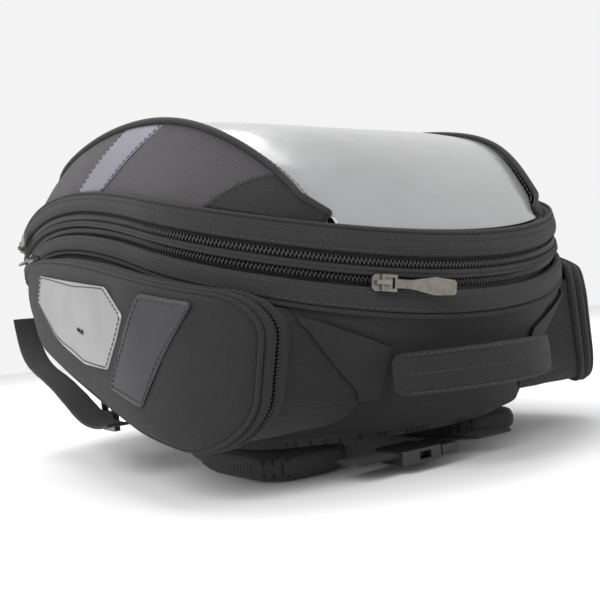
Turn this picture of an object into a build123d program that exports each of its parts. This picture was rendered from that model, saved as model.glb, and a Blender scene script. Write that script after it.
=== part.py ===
from build123d import *
from math import asin, atan2, cos, degrees, hypot, sin, sqrt
import os

# Expandable motorcycle tail bag with a clear map lid, two zipped side pockets,
# a padded grab handle and stowed shoulder straps. Millimetres, +Z up.
# The grab handle is at -Y, the lid opens from there about the +Y end,
# and the two sides are mirror images across X = 0.

os.makedirs("parts", exist_ok=True)

# ---------------------------------------------------------------- driving sizes
HALF_WIDTH = 135.0          # plan half width at the rim
HALF_LENGTH = 220.0         # plan half length at the rim
SIDE_RADIUS = 1500.0        # gentle bow of the two long sides
FRONT_RADIUS = 150.0        # handle end
FRONT_CORNER = 85.0
BACK_RADIUS = 420.0         # hinge end, flatter
BACK_CORNER = 62.0

BASE_Z = 20.0               # underside of the bag, above the stowed straps
BASE_INSET = 32.0           # the walls lean in by this much at the base
WALL = 2.6                  # padded wall
BOARD = 2.4
ARCH_RADIUS = 704.0         # every band follows this arc, seen from the side
ARCH_Y = 84.0
ARCH_TOP = 178.0            # highest point of the rim
ARCH_Z = ARCH_TOP - ARCH_RADIUS

GAP = 0.3                   # running clearance between separate pieces

# Every band lies between two depths below the rim arc.
RIM_BAND = 9.0              # lower edge of the padded band round the lid
PIPING_GROW = 1.8           # how far the rim piping stands proud of the outline
MAIN_UPPER = (9.3, 12.2)    # tapes of the main zip
MAIN_LOWER = (12.7, 15.4)
MAIN_COIL = 12.55           # line where the two coils of the main zip meet
RIDGE = (15.7, 17.3)        # fold that stands out between the two zips
EXPANSION_UPPER = (17.6, 19.9)
EXPANSION_LOWER = (20.2, 22.7)
EXPANSION_COIL = 20.05
BINDING_TOP = 23.0          # the body's top binding
BINDING_END = 32.0
BODY_PIPING = (32.4, 34.6)
BELLOWS = (13.0, 31.0)
COIL = 1.3                  # height of half a coil
COIL_GROW = 1.2             # the coil stands this far out of the outline
TAPE_GROW = (-2.6, -1.2)    # tapes lie this far inside it

LID_RISE = 39.5             # dome height over the rim, halfway along
LID_POWER = 6.5             # a high power keeps the dome full to near its ends
LID_EDGE_POWER = 2.0
DOME_FRONT = 201.0          # dome ends, measured from the middle
DOME_BACK = 204.0
DOME_EDGE_END = 76.5        # half width between the two piped edges
DOME_EDGE_MID = 101.5
PANEL = 1.2                 # outer fabric

POCKET_CORNERS = {          # corner (Y, Z) and its rounding, seen from the side
    "back_top": (84.0, 140.0, 18.0),
    "back_low": (34.0, 84.0, 44.0),
    "front_low": (-186.0, 19.0, 24.0),
    "front_top": (-195.0, 87.0, 20.0),
}
POCKET_TOP_MIDDLE = (-60.0, 124.0)
REFLECTOR_CORNERS = [(4, 126), (-112, 106), (-131, 90), (-106, 65), (-72, 69), (-20, 87), (18, 111)]
LABEL_CORNERS = [(-146, 99), (-175, 91), (-140, 46), (-107, 56)]
STRIPE_CORNERS = [(-21, 150), (-44, 225), (-106, 225), (-68, 150)]
PATCH_SEAM = [(-160, 110), (-186, 200)]     # seam of the corner patch
PATCH_AHEAD = [(-260, 200), (-260, 110)]    # the patch reaches everything ahead of it
POCKET_FACE = 15.0          # how far the pocket's face stands out from the plan outline
POCKET_ZIP = 7.5            # and the line where its two zip halves meet
POCKET_ROUND = 3.6          # soft edge round the face
POCKET_SKIN = 2.6

HANDLE_Z = 48.5
HANDLE_HEIGHT = 20.0
HANDLE_THICK = 8.0
HANDLE_INNER = 60.0         # radius of the handle's inner side, seen from above
HANDLE_CENTRE_Y = -165.0
HANDLE_END_Y = -208.0       # the sewn ends stop this far back

HANDLE_PATCH = [(47.0, 37.5), (47.0, 61.0), (96.0, 84.0), (96.0, 35.0)]    # (X, Z) corners

PAD_WIDTH = 56.0            # stowed shoulder straps
PAD_THICK = 13.0
PAD_X = 62.0
PAD_FRONT = -157.0
PAD_BACK = 44.0
WEBBING = 18.0              # webbing width
WEBBING_THICK = 1.6
LOCK_Y = 3.0                # ladder locks and their tabs

SLIDER_LENGTH = 9.5
SLIDER_WIDTH = 7.5
SLIDER_PLATE = 1.8
PULL_LENGTH = 34.0
PULL_THICK = 1.3
COIL_CLEAR = 2.2            # slider plate's distance from the outline on a flat stretch
POCKET_SLIDER_Y = 44.0      # where the closed pocket zip ends
POCKET_SLIDER_OUT = 3.0     # slider's place beside and over the pocket zip
POCKET_SLIDER_UP = 2.6

SIDES = {"left": -1, "right": 1}

# Shapes are drawn round the middle of the rim. Their footprint, handle included, has its
# middle here, and every piece is saved with that point as the origin.
MIDDLE_Y = (HALF_LENGTH + PIPING_GROW + HANDLE_CENTRE_Y - HANDLE_INNER - HANDLE_THICK) / 2


def save(name, *solids):
    """Write one node, from one solid or a group of separate ones."""
    moved = [Pos(0, -MIDDLE_Y, 0) * shape for shape in solids]
    shape = moved[0] if len(moved) == 1 else Compound(children=moved)
    export_step(shape, f"parts/{name}.step")


def solid(shape):
    """The single largest solid of a boolean result."""
    return max(shape.solids(), key=lambda part: part.volume)


# ---------------------------------------------------------------- plan outline
def unit(vector):
    length = hypot(*vector)
    return (vector[0] / length, vector[1] / length)


def corner_centre(end, end_radius, corner, length):
    """Centre of the corner arc that is tangent to an end arc and to the +X side arc."""
    end_y = end * (length - end_radius)
    side_x = HALF_WIDTH - SIDE_RADIUS
    reach_end = end_radius - corner
    reach_side = SIDE_RADIUS - corner
    span = hypot(side_x, end_y)
    along = (reach_end ** 2 - reach_side ** 2 + span ** 2) / (2 * span)
    across = sqrt(reach_end ** 2 - along ** 2)
    axis = (side_x / span, -end_y / span)
    normal = (-axis[1], axis[0])
    options = [
        (along * axis[0] + way * across * normal[0], end_y + along * axis[1] + way * across * normal[1])
        for way in (1, -1)
    ]
    return max(options, key=lambda point: point[0] + end * point[1])


def outline(grow=0.0, z=0.0, length=HALF_LENGTH):
    """Plan face of the bag, grown or shrunk by an exact distance."""
    side_centre = (HALF_WIDTH - SIDE_RADIUS, 0.0)
    marks = []
    for end, end_radius, corner in ((-1, FRONT_RADIUS, FRONT_CORNER), (1, BACK_RADIUS, BACK_CORNER)):
        centre = corner_centre(end, end_radius, corner, length)
        end_centre = (0.0, end * (length - end_radius))
        to_end = unit((centre[0] - end_centre[0], centre[1] - end_centre[1]))
        to_side = unit((centre[0] - side_centre[0], centre[1] - side_centre[1]))
        between = unit((to_end[0] + to_side[0], to_end[1] + to_side[1]))
        marks.append({
            "tip": (0.0, end * (length + grow)),
            "end": tuple(c + (end_radius + grow) * u for c, u in zip(end_centre, to_end)),
            "corner": tuple(c + (corner + grow) * u for c, u in zip(centre, between)),
            "side": tuple(c + (SIDE_RADIUS + grow) * u for c, u in zip(side_centre, to_side)),
        })
    front, back = marks
    middle = (HALF_WIDTH + grow, 0.0)

    def flip(point):
        return (-point[0], point[1])

    stops = [
        (flip(front["end"]), front["tip"], front["end"]),
        (front["end"], front["corner"], front["side"]),
        (front["side"], middle, back["side"]),
        (back["side"], back["corner"], back["end"]),
        (back["end"], back["tip"], flip(back["end"])),
        (flip(back["end"]), flip(back["corner"]), flip(back["side"])),
        (flip(back["side"]), flip(middle), flip(front["side"])),
        (flip(front["side"]), flip(front["corner"]), flip(front["end"])),
    ]
    edges = [ThreePointArc(*[(x, y, z) for x, y in stop]).edge() for stop in stops]
    return Face(Wire(edges))


def half_width_at(y, grow=0.0):
    """Half width of the plan outline at a given Y."""
    end = -1 if y < 0 else 1
    end_radius = FRONT_RADIUS if y < 0 else BACK_RADIUS
    corner = FRONT_CORNER if y < 0 else BACK_CORNER
    centre = corner_centre(end, end_radius, corner, HALF_LENGTH)
    end_y = end * (HALF_LENGTH - end_radius)
    to_side = unit((centre[0] - HALF_WIDTH + SIDE_RADIUS, centre[1]))
    to_end = unit((centre[0], centre[1] - end_y))
    if abs(y) < abs((SIDE_RADIUS + grow) * to_side[1]):
        return HALF_WIDTH - SIDE_RADIUS + sqrt((SIDE_RADIUS + grow) ** 2 - y ** 2)
    if abs(y) < abs(end_y + (end_radius + grow) * to_end[1]):
        return centre[0] + sqrt(max((corner + grow) ** 2 - (y - centre[1]) ** 2, 0.0))
    return sqrt(max((end_radius + grow) ** 2 - (y - end_y) ** 2, 0.0))


# ---------------------------------------------------------------- arched bands
def arch_z(y, depth=0.0):
    """Height of the rim arc at Y, or of the arc a given depth below it."""
    return ARCH_Z + sqrt((ARCH_RADIUS - depth) ** 2 - (y - ARCH_Y) ** 2)


def arch_slab(top, bottom):
    """Everything between two arcs at these depths below the rim arc."""
    reach = 2 * HALF_WIDTH + 160
    outer = Cylinder(ARCH_RADIUS - top, reach)
    inner = Cylinder(ARCH_RADIUS - bottom, reach + 20)
    return Pos(0, ARCH_Y, ARCH_Z) * Rot(0, 90, 0) * (outer - inner)


def ring(inner, outer, top, bottom):
    """A band round the bag between two outline offsets and two arc depths."""
    tube = extrude(outline(outer), 260, dir=(0, 0, 1)) - extrude(outline(inner), 260, dir=(0, 0, 1))
    return solid(tube & arch_slab(top, bottom))


def zip_half(tape, coil_top):
    """Half a zip: its flat tape between two depths, and half a coil along one edge."""
    return solid(ring(*TAPE_GROW, *tape) + ring(TAPE_GROW[1], COIL_GROW, coil_top, coil_top + COIL))


# ---------------------------------------------------------------- body
TILT = (arch_z(HALF_LENGTH, BINDING_END) - arch_z(-HALF_LENGTH, BINDING_END)) / (2 * HALF_LENGTH)
TILT_Z = (arch_z(HALF_LENGTH, BINDING_END) + arch_z(-HALF_LENGTH, BINDING_END)) / 2
TILT_STRETCH = sqrt(1 + TILT ** 2)
REAR_CUT_Z = 84.0           # the base rises to this height at the back
REAR_CUT_Y = -80.0          # and starts rising here
REAR_SLOPE = (REAR_CUT_Z - BASE_Z) / (HALF_LENGTH - BASE_INSET - REAR_CUT_Y)


def rear_cut(inset):
    """Wedge that lifts the rear of the base, moved inward by a wall thickness."""
    block = Pos(0, 200, -100) * Box(600, 400, 200)
    turn = Rot(degrees(atan2(REAR_SLOPE, 1)), 0, 0)
    return Pos(0, REAR_CUT_Y, BASE_Z) * turn * Pos(0, 0, inset) * block


def tub(shrink, floor):
    """Solid tapered body, shrunk all round, with its floor raised."""
    low = outline(-BASE_INSET - shrink, BASE_Z + floor)
    flat = outline(-shrink - 0.6, 0.0, HALF_LENGTH * TILT_STRETCH)
    high = Pos(0, 0, TILT_Z) * Rot(degrees(atan2(TILT, 1)), 0, 0) * flat
    lower = loft([low, high])
    upper = extrude(high, 120, dir=(0, 0, 1))
    return (lower + upper) - rear_cut(floor)


def below_arch(depth):
    """Everything under the arc at this depth."""
    return Pos(0, ARCH_Y, ARCH_Z) * Rot(0, 90, 0) * Cylinder(ARCH_RADIUS - depth, 700)


BODY_SOLID = tub(0.0, 0.0)


def make_body():
    top = below_arch(BINDING_TOP + GAP)
    shell = solid((BODY_SOLID - tub(WALL, WALL + 1.0)) & top)
    save("body_shell", shell)
    lining = solid((tub(WALL + GAP, 6.6) - tub(WALL + GAP + 0.9, 7.5)) & below_arch(BINDING_TOP + 3.0))
    save("body_lining", lining)
    board = tub(WALL + 9.4, WALL + 1.3) - tub(WALL + 6.4, WALL + 1.3 + BOARD)
    save("base_board", solid(board))
    pad = extrude(outline(-BASE_INSET - 10.0, BASE_Z - 4.0), 3.8, dir=(0, 0, 1))
    behind = Pos(0, 300 + REAR_CUT_Y - 8, 0) * Box(400, 600, 80)
    save("base_pad", solid(pad - behind))
    save("top_binding", ring(0.0, 2.4, BINDING_TOP, BINDING_END))
    save("body_piping", ring(0.0, 2.0, *BODY_PIPING))
    save("expansion_zip_lower", zip_half(EXPANSION_LOWER, EXPANSION_LOWER[0]))
    save("gusset_bellows", ring(-8.6, -5.0, *BELLOWS))


# ---------------------------------------------------------------- expander
def make_expander():
    band = ring(-4.4, -2.9, MAIN_UPPER[0] + GAP, EXPANSION_LOWER[1]) + ring(-2.9, 1.6, *RIDGE)
    save("expander_band", solid(band))
    save("expansion_zip_upper", zip_half(EXPANSION_UPPER, EXPANSION_UPPER[1] - COIL))
    save("main_zip_lower", zip_half(MAIN_LOWER, MAIN_LOWER[0]))


# ---------------------------------------------------------------- lid
def dome_fraction(y):
    """0 at the two ends of the dome and 1 at its middle."""
    reach = DOME_FRONT if y < 0 else DOME_BACK
    return 1 - abs(y / reach) ** LID_POWER


def dome_points(y):
    """Foot and upper edge of the dome's side panel at Y."""
    share = dome_fraction(y)
    foot = (half_width_at(y, -4.0), arch_z(y) + 0.8)
    edge_x = DOME_EDGE_END + (DOME_EDGE_MID - DOME_EDGE_END) * share ** LID_EDGE_POWER
    edge_x = min(edge_x, foot[0] - 1.5)
    edge_z = arch_z(y) + 1.6 + LID_RISE * share
    return foot, (edge_x, edge_z)


STATIONS = [-0.985, -0.95, -0.88, -0.76, -0.56, -0.3, 0.0, 0.3, 0.56, 0.76, 0.88, 0.95, 0.985]


def station_y(part):
    return part * (DOME_FRONT if part < 0 else DOME_BACK)


def dome_loft(section):
    """Loft a closed XZ section, given as a function of Y, along the dome."""
    faces = []
    for part in STATIONS:
        y = station_y(part)
        points = [(x, y, z) for x, z in section(y)]
        faces.append(Face(Polyline(*points, close=True).wire()))
    return loft(faces)


def window_section(y, lift=0.0, thick=PANEL):
    x, z = dome_points(y)[1]
    crown = 1.5 * dome_fraction(y)
    top = [(-x, z + lift), (-x * 0.4, z + lift + crown), (x * 0.4, z + lift + crown), (x, z + lift)]
    low = [(px, pz - thick) for px, pz in reversed(top)]
    return top + low


def side_section(y, side, low_part=0.0, high_part=1.0, lift=0.0, thick=PANEL):
    (foot_x, foot_z), (edge_x, edge_z) = dome_points(y)
    run = (foot_x - edge_x, edge_z - foot_z)
    length = hypot(*run)
    out = (run[1] / length, run[0] / length)

    def at(part, height):
        x = foot_x + (edge_x - foot_x) * part + out[0] * height
        z = foot_z + (edge_z - foot_z) * part + out[1] * height
        return (side * x, z)

    return [at(low_part, lift), at(high_part, lift), at(high_part, lift - thick), at(low_part, lift - thick)]


def make_lid():
    save("lid_rim_band", ring(-3.4, 2.2, 0.0, RIM_BAND))
    save("rim_piping", ring(-0.6, PIPING_GROW, -2.8, -0.3))
    save("main_zip_upper", zip_half(MAIN_UPPER, MAIN_UPPER[1] - COIL))
    deck = extrude(outline(-4.0), 260, dir=(0, 0, 1)) & arch_slab(0.2, 2.6)
    save("lid_deck", solid(deck))
    save("map_window", solid(dome_loft(window_section)))
    stripes = []
    patches = []
    pipings = []
    for name, side in SIDES.items():
        save(f"lid_side_panel_{name}", solid(dome_loft(lambda y: side_section(y, side, 0.05, 0.91))))
        overlay = dome_loft(lambda y: side_section(y, side, 0.08, 0.86, 0.75, 0.6))
        stripes.append(solid(overlay & side_prism(side, STRIPE_CORNERS)))
        patches.append(solid(overlay & side_prism(side, PATCH_SEAM + PATCH_AHEAD)))
        pipings.append(solid(dome_loft(lambda y: piping_section(y, side))))
    save("lid_stripes", *stripes)
    save("lid_corner_patches", *patches)
    save("window_pipings", *pipings)


def piping_section(y, side):
    """Small square cord along the seam between window and side panel."""
    x, z = dome_points(y)[1]
    half = 1.3
    middle = z + 1.7
    corners = ((-half, -half), (half, -half), (half, half), (-half, half))
    return [(side * x + dx, middle + dz) for dx, dz in corners]


# ---------------------------------------------------------------- side pockets
def pocket_outline():
    """Pocket shape seen from the side, as a face on X = 0."""
    back_top, back_low, front_low, front_top = (POCKET_CORNERS[name][:2] for name in POCKET_CORNERS)
    edges = [
        ThreePointArc((0, *back_top), (0, *POCKET_TOP_MIDDLE), (0, *front_top)).edge(),
        Line((0, *front_top), (0, *front_low)).edge(),
        Line((0, *front_low), (0, *back_low)).edge(),
        Line((0, *back_low), (0, *back_top)).edge(),
    ]
    face = Face(Wire(edges))
    for y, z, rounding in POCKET_CORNERS.values():
        corner = min(face.vertices(), key=lambda vertex: hypot(vertex.Y - y, vertex.Z - z))
        face = face.fillet_2d(rounding, [corner])
    return face


def pocket_prism(side, grow=0.0):
    """Pocket outline, grown or shrunk, swept from inside the bag to outside."""
    face = pocket_outline()
    if grow:
        face = offset(face, grow).faces()[0]
    return extrude(Pos(side * 40, 0, 0) * face, 160, dir=(side, 0, 0))


def wrap(grow):
    """Everything inside the plan outline grown by this much."""
    return extrude(outline(grow), 260, dir=(0, 0, 1))


def make_pockets(skin_keepout, band_keepout):
    for name, side in SIDES.items():
        outer = pocket_prism(side)
        tube = outer - pocket_prism(side, -POCKET_SKIN)
        wall = (tube & wrap(POCKET_ZIP - 3.0)) - skin_keepout - band_keepout
        save(f"pocket_wall_{name}", solid(wall))
        coil = pocket_prism(side, 1.0) - pocket_prism(side, -1.6)
        fixed = coil & (wrap(POCKET_ZIP - 0.2) - wrap(POCKET_ZIP - 2.7))
        save(f"pocket_zip_inner_{name}", solid(fixed - skin_keepout - band_keepout))
        moving = coil & (wrap(POCKET_ZIP + 2.7) - wrap(POCKET_ZIP + 0.2))
        save(f"pocket_zip_outer_{name}", solid(moving - skin_keepout - band_keepout))
        dish = solid(outer & (wrap(POCKET_FACE) - wrap(POCKET_ZIP + 3.0)))
        rim = [edge for edge in dish.edges() if on_face_edge(edge, POCKET_FACE)]
        dish = dish.fillet(POCKET_ROUND, rim)
        hollow = solid(pocket_prism(side, -POCKET_SKIN) & wrap(POCKET_FACE - POCKET_SKIN))
        save(f"pocket_flap_{name}", solid(dish - hollow - skin_keepout - band_keepout))
        overlay = wrap(POCKET_FACE + 0.9) - wrap(POCKET_FACE + 0.1)
        save(f"pocket_reflector_{name}", solid(overlay & side_prism(side, REFLECTOR_CORNERS, 3.0)))
        save(f"pocket_label_{name}", solid(overlay & side_prism(side, LABEL_CORNERS, 3.0)))


def on_face_edge(edge, grow):
    """True for an edge that runs round the pocket's outer face, not across it."""
    points = (edge @ 0.2, edge @ 0.8)
    on_face = all(abs(abs(point.X) - half_width_at(point.Y, grow)) < 0.05 for point in points)
    seam = abs(points[0].Y - points[1].Y) < 0.01 and abs(points[0].Z - points[1].Z) > 40
    return on_face and not seam


def side_prism(side, corners, rounding=0.0):
    """Flat shape given by (Y, Z) corners, swept across one side of the bag."""
    face = Face(Polyline(*[(0, y, z) for y, z in corners], close=True).wire())
    if rounding:
        face = face.fillet_2d(rounding, face.vertices())
    return extrude(Pos(side * 40, 0, 0) * face, 160, dir=(side, 0, 0))


# ---------------------------------------------------------------- zip sliders
def slider_solid():
    """Zip slider: plate at its base, with a bridge that holds the pull. Zip runs along X."""
    plate = Pos(0, 0, SLIDER_PLATE / 2) * Box(SLIDER_LENGTH, SLIDER_WIDTH, SLIDER_PLATE)
    corners = plate.edges().filter_by(Axis.Z)
    plate = plate.fillet(2.2, corners)
    bridge = Pos(0, 0, SLIDER_PLATE + 1.5) * Box(6.6, 2.0, 3.0)
    window = Pos(0, 0, SLIDER_PLATE + 1.0) * Box(4.2, 4.0, 2.0)
    return solid(plate + (bridge - window))


def pull_solid():
    """Zip pull lying flat along +X, hinged about Y at the slider's bridge."""
    height = SLIDER_PLATE + 1.0
    eye = Pos(2.9, 0, height) * Box(7.1, 7.6, PULL_THICK)
    hole = Pos(3.0, 0, height) * Box(4.7, 4.8, 4)
    neck = 2.0
    flare = 4.1
    points = [(6.0, -neck), (13.0, -neck), (24.0, -flare), (PULL_LENGTH, -flare + 0.8)]
    points += [(x, -y) for x, y in reversed(points)]
    tab = Face(Polyline(*[(x, y, 0) for x, y in points], close=True).wire())
    ends = [vertex for vertex in tab.vertices() if vertex.X > 12]
    tab = tab.fillet_2d(1.6, ends)
    tab = extrude(Pos(0, 0, height - PULL_THICK / 2) * tab, PULL_THICK, dir=(0, 0, 1))
    return solid((eye - hole) + tab)


def place(shape, at, along, out):
    """Move a shape so that its X runs along the zip and its Z points outward."""
    return Plane(origin=at, x_dir=along, z_dir=out).location * shape


def make_sliders():
    """The slider and pull of the expansion zip, both main zips and both pocket zips."""
    spots = {"expansion": expansion_spot()}
    for name, side in SIDES.items():
        spots[f"main_{name}"] = main_spot(side)
        spots[f"pocket_{name}"] = pocket_spot(side)
    for name, (at, along, out) in spots.items():
        save(f"{name}_slider", place(slider_solid(), at, along, out))
        save(f"{name}_pull", place(pull_solid(), at, along, out))


def expansion_spot():
    """On the front end arc, off centre, lying along the zip."""
    turn = asin(-53.0 / FRONT_RADIUS)
    reach = FRONT_RADIUS + COIL_CLEAR + 0.6
    y = FRONT_RADIUS - HALF_LENGTH - reach * cos(turn)
    at = (reach * sin(turn), y, arch_z(y, EXPANSION_COIL))
    slope = (ARCH_Y - y) / (at[2] - ARCH_Z)
    along = unit3((cos(turn), sin(turn), sin(turn) * slope))
    return at, along, (sin(turn), -cos(turn), 0.0)


def unit3(vector):
    length = sqrt(sum(value ** 2 for value in vector))
    return tuple(value / length for value in vector)


def main_spot(side):
    """Near the back of one long side, pointing forward along the zip."""
    y = 136.0
    at = (side * half_width_at(y, COIL_CLEAR + 0.6), y, arch_z(y, MAIN_COIL))
    slope = (ARCH_Y - y) / (at[2] - ARCH_Z)
    sideways = y / (SIDE_RADIUS + at[0] * side - HALF_WIDTH)
    return at, unit3((side * sideways, -1.0, -slope)), unit3((side, sideways, 0.0))


def pocket_spot(side):
    """At the back end of the pocket zip, with the pull hanging down behind."""
    x = half_width_at(POCKET_SLIDER_Y, POCKET_ZIP + POCKET_SLIDER_OUT)
    at = (side * x, POCKET_SLIDER_Y, arc_height(POCKET_SLIDER_Y) + POCKET_SLIDER_UP)
    return at, (0.0, 1.0, 0.0), unit3((side * 0.3, 0.0, 1.0))


def arc_height(y):
    """Height of the pocket's top edge at Y."""
    (y0, z0, _), (y1, z1, _) = POCKET_CORNERS["back_top"], POCKET_CORNERS["front_top"]
    ym, zm = POCKET_TOP_MIDDLE
    return (z0 * (y - ym) * (y - y1) / ((y0 - ym) * (y0 - y1))
            + zm * (y - y0) * (y - y1) / ((ym - y0) * (ym - y1))
            + z1 * (y - y0) * (y - ym) / ((y1 - y0) * (y1 - ym)))


# ---------------------------------------------------------------- handle and trim
def make_handle(skin):
    outer = Cylinder(HANDLE_INNER + HANDLE_THICK, HANDLE_HEIGHT)
    inner = Cylinder(HANDLE_INNER, HANDLE_HEIGHT + 2)
    grip = Pos(0, HANDLE_CENTRE_Y, HANDLE_Z) * (outer - inner)
    keep = Pos(0, HANDLE_END_Y - 60, HANDLE_Z) * Box(220, 120, 60)
    grip = solid(grip & keep)
    long_edges = [edge for edge in grip.edges() if abs((edge @ 0.5).X) < 1]
    save("grab_handle", grip.fillet(3.0, long_edges))
    anchors = []
    for side in SIDES.values():
        corners = [(side * x, HANDLE_CENTRE_Y - HANDLE_INNER, z) for x, z in HANDLE_PATCH]
        prism = extrude(Face(Polyline(*corners, close=True).wire()), 75, dir=(0, 1, 0))
        anchors.append(solid((skin & prism) - pocket_prism(side, 1.4)))
    save("handle_anchors", *anchors)


def make_side_trim(skin):
    """Sewn tabs on the side walls, behind and below the pockets."""
    lock_tabs = []
    reflect_tabs = []
    anchor_tabs = []
    for side in SIDES.values():
        lock_tabs.append(solid(skin & (Pos(side * 120, LOCK_Y, 54) * Box(60, 18, 18))))
        reflect_tabs.append(solid(skin & (Pos(side * 130, 104, 94) * Box(60, 15, 26))))
        anchor_tabs.append(solid(skin & (Pos(side * 130, 168, 98) * Box(80, 24, 26))))
    save("ladder_lock_tabs", *lock_tabs)
    save("reflective_tabs", *reflect_tabs)
    save("strap_anchor_tabs", *anchor_tabs)


# ---------------------------------------------------------------- straps
def ribbon(points, x_low, x_high):
    """Webbing that follows a spline in the YZ plane, with its width across X."""
    path = Spline(*[(x_low, y, z) for y, z in points])
    start = path % 0
    across = Vector(0, -start.Z, start.Y)
    section = Plane(origin=path @ 0, x_dir=(1, 0, 0), z_dir=start)
    width = x_high - x_low
    profile = section * Pos(width / 2, 0, 0) * Rectangle(width, WEBBING_THICK)
    return solid(sweep(profile, path=Wire([path])))


def ladder_lock(side):
    """Plastic frame with two slots for webbing."""
    frame = Box(3.6, 24, 20)
    slots = [Pos(0, 0, z) * Box(6, 18, 4.4) for z in (-4.6, 4.6)]
    frame = frame - slots[0] - slots[1]
    frame = frame.fillet(1.0, frame.edges().filter_by(Axis.X).filter_by(lambda edge: abs(edge.center().Y) > 11))
    return Pos(side * 116.5, LOCK_Y, 34) * frame


def shoulder_pad(side):
    """Stowed strap: flat at the front, then following the rising base."""
    bend = REAR_CUT_Y - 4
    rise = REAR_SLOPE * (PAD_BACK - bend)
    profile = [(PAD_FRONT, 0), (bend, 0), (PAD_BACK, rise), (PAD_BACK, rise + PAD_THICK),
               (bend - 3, PAD_THICK), (PAD_FRONT, PAD_THICK)]
    face = Face(Polyline(*[(0, y, z) for y, z in profile], close=True).wire())
    block = extrude(Pos(side * PAD_X - PAD_WIDTH / 2, 0, 0) * face, PAD_WIDTH, dir=(1, 0, 0))
    block = block.fillet(20.0, block.edges().filter_by(Axis.Z))
    soft = [edge for edge in block.edges() if edge.center().Z < 1 or edge.center().Y < bend]
    soft = [edge for edge in soft if abs(edge.center().Z - PAD_THICK / 2) > 4]
    return block.fillet(3.0, soft) if soft else block


def make_straps():
    drop = [(180, 110), (158, 80), (100, 61), (40, 45), (-3, 33), (-40, 31), (-58, 33)]
    locks = []
    for name, side in SIDES.items():
        save(f"shoulder_pad_{name}", shoulder_pad(side))
        inner = 119.0
        low, high = sorted((side * inner, side * (inner + WEBBING)))
        save(f"adjuster_webbing_{name}", ribbon(drop, low, high))
        locks.append(ladder_lock(side))
    save("ladder_locks", *locks)


# ---------------------------------------------------------------- buckle
BUCKLE_Y = -182.0
BUCKLE_Z = 7.6
BUCKLE_HEIGHT = 6.6
BUCKLE_WIDTH = 24.0
BUCKLE_X = -26.0


def make_buckle():
    """Side-release buckle on a short strap under the front of the base."""
    socket = Box(24, BUCKLE_WIDTH, BUCKLE_HEIGHT)
    socket = socket.fillet(2.0, socket.edges().filter_by(Axis.Z))
    mouth = Pos(4, 0, 0) * Box(17.0, 17.0, 3.6)
    side_windows = Pos(1, 0, 0) * Box(7.0, 40.0, 3.6)
    save("buckle_socket", Pos(BUCKLE_X, BUCKLE_Y, BUCKLE_Z) * (socket - mouth - side_windows))
    root = Pos(17.5, 0, 0) * Box(10, BUCKLE_WIDTH - 2, 5.0)
    tongue = Pos(5.5, 0, 0) * Box(16, 3.4, 2.6)
    prongs = [Pos(5.0, y, 0) * Box(17, 2.6, 2.6) for y in (-6.4, 6.4)]
    plug = root + tongue + prongs[0] + prongs[1]
    save("buckle_plug", Pos(BUCKLE_X, BUCKLE_Y, BUCKLE_Z) * solid(plug))
    left = Pos(BUCKLE_X - 12.3 - 12, BUCKLE_Y, BUCKLE_Z + 1.5) * Box(24, WEBBING, WEBBING_THICK)
    right = Pos(BUCKLE_X + 38.5 + 12, BUCKLE_Y, BUCKLE_Z + 1.5) * Box(24, WEBBING, WEBBING_THICK)
    save("stow_webbing", left, right)


def make_hinge_strip():
    """Fabric strip that covers the back of the zips, under the lid's hinge line."""
    strip = ring(2.7, 3.8, MAIN_LOWER[0] + GAP, EXPANSION_LOWER[1] - 0.7) & (Pos(0, 200, 150) * Box(190, 120, 200))
    save("lid_hinge_strip", solid(strip))


make_body()
make_expander()
make_lid()
make_hinge_strip()
SKIN_KEEPOUT = tub(-0.5, -0.5)
SKIN_PATCH = tub(-2.0, -2.0) - SKIN_KEEPOUT
BAND_KEEPOUT = ring(-8.0, 4.4, 5.0, BODY_PIPING[1] + 0.8)
make_pockets(SKIN_KEEPOUT, BAND_KEEPOUT)
make_sliders()
make_handle(SKIN_PATCH)
make_side_trim(SKIN_PATCH)
make_straps()
make_buckle()
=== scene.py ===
from math import asin, atan2, ceil, cos, hypot, pi, radians, sin, sqrt

import bmesh
import bpy
import numpy as np
from mathutils import Matrix, Vector, noise


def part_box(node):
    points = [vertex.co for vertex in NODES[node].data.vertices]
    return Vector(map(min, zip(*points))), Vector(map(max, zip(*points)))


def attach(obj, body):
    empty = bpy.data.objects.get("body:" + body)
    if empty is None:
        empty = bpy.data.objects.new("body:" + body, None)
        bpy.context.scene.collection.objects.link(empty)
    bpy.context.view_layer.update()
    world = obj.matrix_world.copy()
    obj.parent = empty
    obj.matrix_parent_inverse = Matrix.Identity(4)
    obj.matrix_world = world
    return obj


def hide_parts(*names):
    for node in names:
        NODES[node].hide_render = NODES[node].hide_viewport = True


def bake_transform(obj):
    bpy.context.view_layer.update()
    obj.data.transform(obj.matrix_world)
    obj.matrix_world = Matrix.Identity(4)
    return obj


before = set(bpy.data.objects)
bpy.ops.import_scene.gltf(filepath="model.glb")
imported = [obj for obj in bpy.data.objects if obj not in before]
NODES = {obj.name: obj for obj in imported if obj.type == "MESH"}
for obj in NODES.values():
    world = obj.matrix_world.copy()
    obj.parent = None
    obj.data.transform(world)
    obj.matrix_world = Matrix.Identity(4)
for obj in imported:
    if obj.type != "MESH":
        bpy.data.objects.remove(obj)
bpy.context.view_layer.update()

MM = 0.001

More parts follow.
